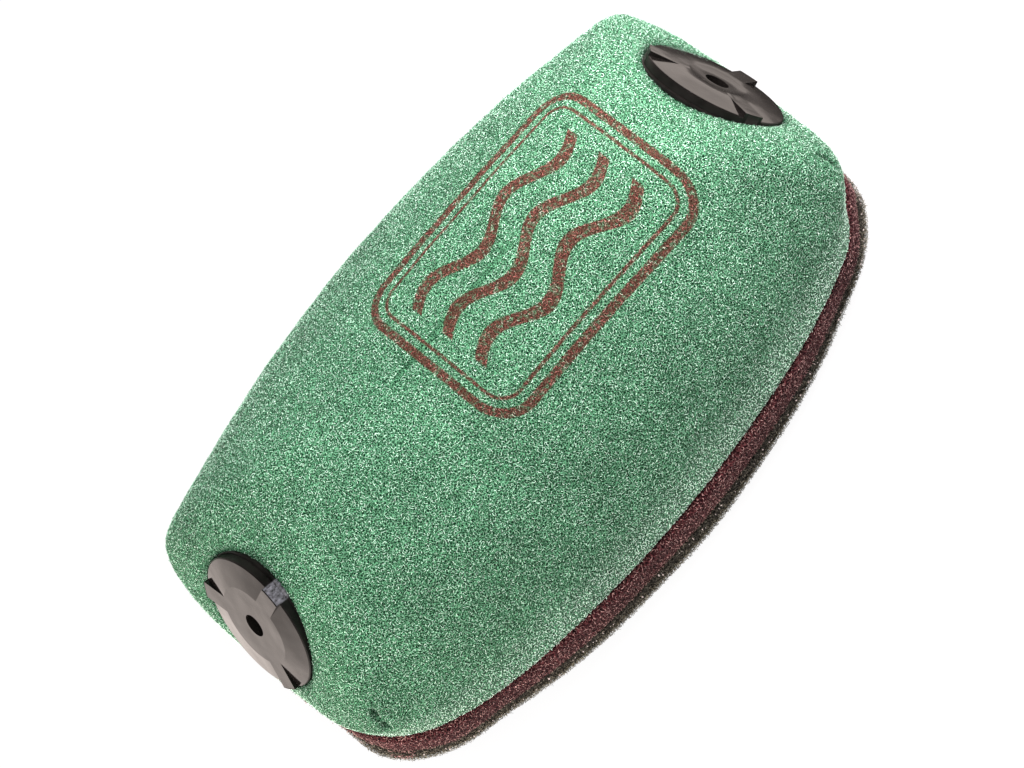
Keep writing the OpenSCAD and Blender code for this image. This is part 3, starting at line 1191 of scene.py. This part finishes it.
def gasket_rings():
    """The sealing ring's outer wall inside its loose fringe, with its pushed corner, from its foot up."""
    rings = []
    for z in np.linspace(GASKET_SKIN_FOOT, GASKET_SKIN_TOP, GASKET_ROWS):
        tuck = edge_tuck(z, 0.0, GASKET_SKIN_TOP, GASKET_SOFT)
        ring = flat_ring(inset(BASE_PLAN, FRINGE_ROOM + tuck), z)
        left = smooth((-ring[:, 0] - END_FROM) / END_RUN)
        near = smooth((-ring[:, 1] - PUSH_FROM) / PUSH_RUN)
        ring[:, 0] -= CORNER_PUSH * (left * near)
        rings.append(uneven(ring))
    return rings


def make_black_foam(outer, material):
    """Black sealing ring with soft edges."""
    inner = [flat_ring(CAVITY_PLAN, z) for z in np.linspace(GASKET_SKIN_TOP, GASKET_SKIN_FOOT, 8)]
    top = rings_between(outer[-1], inner[0], count=12)
    bottom = rings_between(inner[-1], outer[0], count=12)
    return loft("black_foam", outer + top + inner + bottom, material, close=True)


def tongue_rings(gasket):
    """Stretch of the gasket's wall under the hanging tongue, drawn together towards its foot."""
    rings = np.asarray(gasket)
    aside = np.linalg.norm(rings[0][:, :2] - TONGUE_PLACE, axis=1)
    chosen = np.flatnonzero(aside < TONGUE_REACH)
    strip = rings[rings[:, 0, 2] > TONGUE_FOOT][:, chosen]
    middle = strip[:, len(chosen) // 2][:, None]
    top, low = strip[-1, 0, 2], strip[0, 0, 2]
    keep = TONGUE_TIP + (1.0 - TONGUE_TIP) * (strip[:, :1, 2:] - low) / (top - low)
    return middle + (strip - middle) * keep


def make_glue(name, plan, heights, material, rng, beads):
    """A thin ring of glue with an uneven edge, and beads of it that were squeezed out to the wall."""
    foot, top = heights
    ring = flat_ring(inset(plan, GLUE_EDGE), foot)
    wavy = ring + outward(ring) * lumpy(ring, GLUE_WAVE)[:, None]
    inner = flat_ring(inset(plan, GLUE_INNER_EDGE), foot)
    lift = np.array([0.0, 0.0, top - foot])
    piece = loft(name, [wavy, wavy + lift, inner + lift, inner], material, close=True)
    form = bmesh.new()
    form.from_mesh(piece.data)
    wall = overhung(flat_ring(plan, 0.5 * (foot + top)))
    out = outward(wall)
    for index in rng.choice(len(wall), beads):
        radius = rng.uniform(*BEAD_RADIUS) * MM
        place = wall[index] + out[index] * rng.uniform(*BEAD_OUT)
        place[2] += rng.normal() * BEAD_SPREAD
        radii = radius * rng.uniform(*BEAD_STRETCH, 3)
        shape = Matrix.Translation(place * MM) @ Matrix.Diagonal((*radii, 1.0))
        bmesh.ops.create_icosphere(form, subdivisions=1, radius=1.0, matrix=shape)
    form.to_mesh(piece.data)
    form.free()
    return piece


def bowl_cutter(seat, material):
    """A shallow bowl over the middle of a cap's face, flat at its floor and steepest at its edge."""
    angle = np.linspace(0.0, 2.0 * math.pi, BOWL_SIDES, endpoint=False)
    rings = []
    for share in np.linspace(0.0, BOWL_PAST_EDGE, BOWL_STEPS):
        radius = BOWL_FLOOR + (BOWL_EDGE - BOWL_FLOOR) * share
        height = RIB_TOP - BOWL_DEPTH * (1.0 - share ** 2)
        rings.append(seat.world(np.full(BOWL_SIDES, radius), angle, np.full(BOWL_SIDES, height)))
    floor = seat.middle + seat.axis * (RIB_TOP - BOWL_DEPTH)
    lid = seat.middle + seat.axis * (RIB_TOP + BOWL_LID)
    return loft("cutter", rings, material, first_pole=floor, last_pole=lid)


def make_dished_cap(frame, node, seat, material):
    """A copy of a cap with a shallow bowl sunk round its hole."""
    solid = frame["nodes"][node]
    piece = add_object("dished_cap", solid.data.copy())
    piece.matrix_world = solid.matrix_world.copy()
    form = bmesh.new()
    form.from_mesh(piece.data)
    bmesh.ops.remove_doubles(form, verts=form.verts, dist=WELD * MM)
    form.to_mesh(piece.data)
    form.free()
    cut_away(piece, [bowl_cutter(seat, material)])
    piece.data.shade_smooth()
    piece.data.set_sharp_from_angle(angle=CAP_SHARP)
    piece.data.materials.clear()
    piece.data.materials.append(material)
    return piece


def dress_node(frame, node, material):
    """Gives a CAD node its finished material."""
    mesh = frame["nodes"][node].data
    mesh.materials.clear()
    mesh.materials.append(material)


# Stage


def painted_floor_in_gloss(tree):
    """Colour that glossy surfaces see at each place of the floor: a painted reflection, with a painted
    shadow beside the right end.
    """
    across, _, _ = object_axes(tree)
    first, last = PAINTED_FLOOR_IN_GLOSS[0][0], PAINTED_FLOOR_IN_GLOSS[-1][0]
    ramp = add_node(tree, "ShaderNodeValToRGB", {"Fac": across.mapped((first, last), UNIT)})
    stops = ramp.color_ramp.elements
    while len(stops) < len(PAINTED_FLOOR_IN_GLOSS):
        stops.new(0.5)
    for stop, (x, level) in zip(stops, PAINTED_FLOOR_IN_GLOSS):
        stop.position = (x - first) / (last - first)
        stop.color = (level, level, level, 1)
    return mix_colours(tree, 1.0, Field(ramp.outputs["Color"]), PAINTED_REFLECTION_TINT, "MULTIPLY")


def rays(tree):
    """Masks of rays that the camera sees, also through something clear, and of glossy ones."""
    path = add_node(tree, "ShaderNodeLightPath").outputs
    seen = Field(path["Is Camera Ray"]).at_least(Field(path["Is Transmission Ray"]))
    return seen, Field(path["Is Glossy Ray"])


def make_floor():
    """A plain white floor that shows only a soft part of the object's shadow, and that glossy surfaces see
    as a painted reflection.
    """
    material, tree, shader = new_material("floor")
    fill(tree, shader, {"Base Color": FLOOR_COLOUR, "Roughness": FLOOR_ROUGHNESS})
    seen, glossy = rays(tree)
    share = (seen * FLOOR_GLOW).at_least(glossy)
    # Glossy rays see the floor's painted reflection and painted shadow
    colour = mix_colours(tree, glossy, (1, 1, 1, 1), painted_floor_in_gloss(tree))
    glow = add_node(tree, "ShaderNodeEmission", {"Color": colour, "Strength": 1.0})
    parts = {0: share, 1: Field(shader.outputs[0]), 2: Field(glow.outputs[0])}
    mixed = add_node(tree, "ShaderNodeMixShader", parts)
    fill(tree, tree.nodes["Material Output"], {"Surface": Field(mixed.outputs[0])})
    half = FLOOR_HALF
    corners = [(-half, -half, 0), (half, -half, 0), (half, half, 0), (-half, half, 0)]
    floor = mesh_piece("floor", corners, [(0, 1, 2, 3)], material, smooth_faces=False)


def make_lamp(name, place, target, size, power, colour=(1.0, 1.0, 1.0)):
    """A square soft lamp aimed at a point."""
    data = bpy.data.lights.new(name, "AREA")
    data.color = colour
    data.size = size
    data.energy = power
    lamp = add_object(name, data)
    lamp.location = place
    aim = Vector(target) - Vector(place)
    lamp.rotation_euler = aim.to_track_quat("-Z", "Y").to_euler()
    lamp.visible_glossy = False


def make_world():
    """White surroundings for the camera, a softer level for light, and a dim one for reflections."""
    world = bpy.data.worlds.new("studio")
    bpy.context.scene.world = world
    world.use_nodes = True
    tree = world.node_tree
    seen, glossy = rays(tree)
    light = glossy.mapped(UNIT, (AMBIENT, SKY_IN_GLOSS))
    level = seen.mapped(UNIT, (light, 1.0))
    fill(tree, tree.nodes["Background"], {"Color": (1, 1, 1, 1), "Strength": level})


def make_camera():
    """A camera at the photograph's viewing angle."""
    data = bpy.data.cameras.new("camera")
    data.lens = LENS_MM
    data.sensor_width = SENSOR_MM
    data.clip_end = VIEW_END
    camera = add_object("camera", data)
    turn = Matrix((CAMERA_RIGHT, CAMERA_UP, CAMERA_BACK)).transposed()
    camera.matrix_world = Matrix.Translation(CAMERA_PLACE) @ turn.to_4x4()
    bpy.context.scene.camera = camera


def make_stage():
    """Camera, floor and light."""
    bpy.context.scene.view_settings.view_transform = "Standard"
    make_camera()
    make_floor()
    make_world()
    make_lamp("key", (0.18, 0.03, 0.2), AIM, size=0.15, power=1.85, colour=(1.0, 0.89, 0.94))
    make_lamp("top", (-0.12, -0.03, 0.27), (-0.05, 0.0, 0.03), size=0.2, power=0.44)
    make_lamp("front_fill", (0.02, -0.6, 0.12), AIM, size=0.3, power=0.2)
    make_lamp("low_fill", (-0.4, -0.1, 0.1), AIM, size=0.25, power=2.4, colour=(1.0, 0.84, 0.79))


def add_foams(rng):
    """The three foams, each a closed skin under a net of struts."""
    green_skin = foam_skin("green_foam", GREEN, INK)
    green_net = foam_struts("green_struts", GREEN, INK)
    maroon_skin = foam_skin("maroon_foam", MAROON)
    maroon_net = foam_struts("maroon_struts", MAROON)
    black_skin = foam_skin("black_foam", BLACK)
    black_net = foam_struts("black_struts", BLACK)
    fringe_net = foam_struts("black_fringe", FRINGE)
    outside = green_rings()
    flange = flange_rings()
    gasket = gasket_rings()
    skins = [
        (make_green_foam(outside, green_skin), "outer_foam", "green_foam"),
        (make_maroon_foam(flange, maroon_skin), "inner_foam", "maroon_foam"),
        (make_black_foam(gasket, black_skin), "sealing_gasket", "black_foam"),
    ]
    for piece, node, slot in skins:
        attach(piece, "root")
        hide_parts(node)
    tongue = tongue_rings(gasket)
    nets = [
        (make_struts("green_struts", outside, GREEN_NET, green_net, rng), "green_foam"),
        (make_struts("maroon_struts", flange, MAROON_NET, maroon_net, rng), "maroon_foam"),
        (make_struts("maroon_tongue", tongue, TONGUE_NET, maroon_net, rng, closed=False), "maroon_foam"),
        (make_struts("black_struts", gasket, BLACK_NET, black_net, rng), "black_foam"),
        (make_struts("black_fringe", gasket[:FRINGE_ROWS], FRINGE_NET, fringe_net, rng), "black_foam"),
    ]
    for halves, slot in nets:
        for piece in halves:
            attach(piece, "root")
    for piece in (skins[0][0], *nets[0][0]):
        mark_green(piece)


def add_glue(rng):
    """Both seams of glue."""
    glue = glue_material()
    dome_plan = inset(FLANGE_PLAN, DOME_GLUE_INSET)
    seams = [
        (make_glue("dome_glue", dome_plan, DOME_GLUE, glue, rng, beads=0), "dome_glue_line"),
        (make_glue("gasket_glue", FLANGE_PLAN, GASKET_GLUE, glue, rng, GASKET_BEADS), "gasket_glue_line"),
    ]
    for piece, node in seams:
        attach(piece, "root")
        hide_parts(node)


def add_plastics(frame):
    """Caps and washers."""
    dress_node(frame, "left_cap", cap_material("left_cap", SEATS["left"], scuffed=True))
    right_plastic = cap_material("right_cap", SEATS["right"], scuffed=False)
    right_cap = make_dished_cap(frame, "right_cap", SEATS["right"], right_plastic)
    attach(right_cap, "root")
    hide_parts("right_cap")
    washer = washer_material()
    for node in ("left_backing_washer", "right_backing_washer"):
        dress_node(frame, node, washer)


def main():
    """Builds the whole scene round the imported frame."""
    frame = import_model()
    make_stage()
    rng = np.random.default_rng(SEED)
    add_foams(rng)
    add_glue(rng)
    add_plastics(frame)


main()
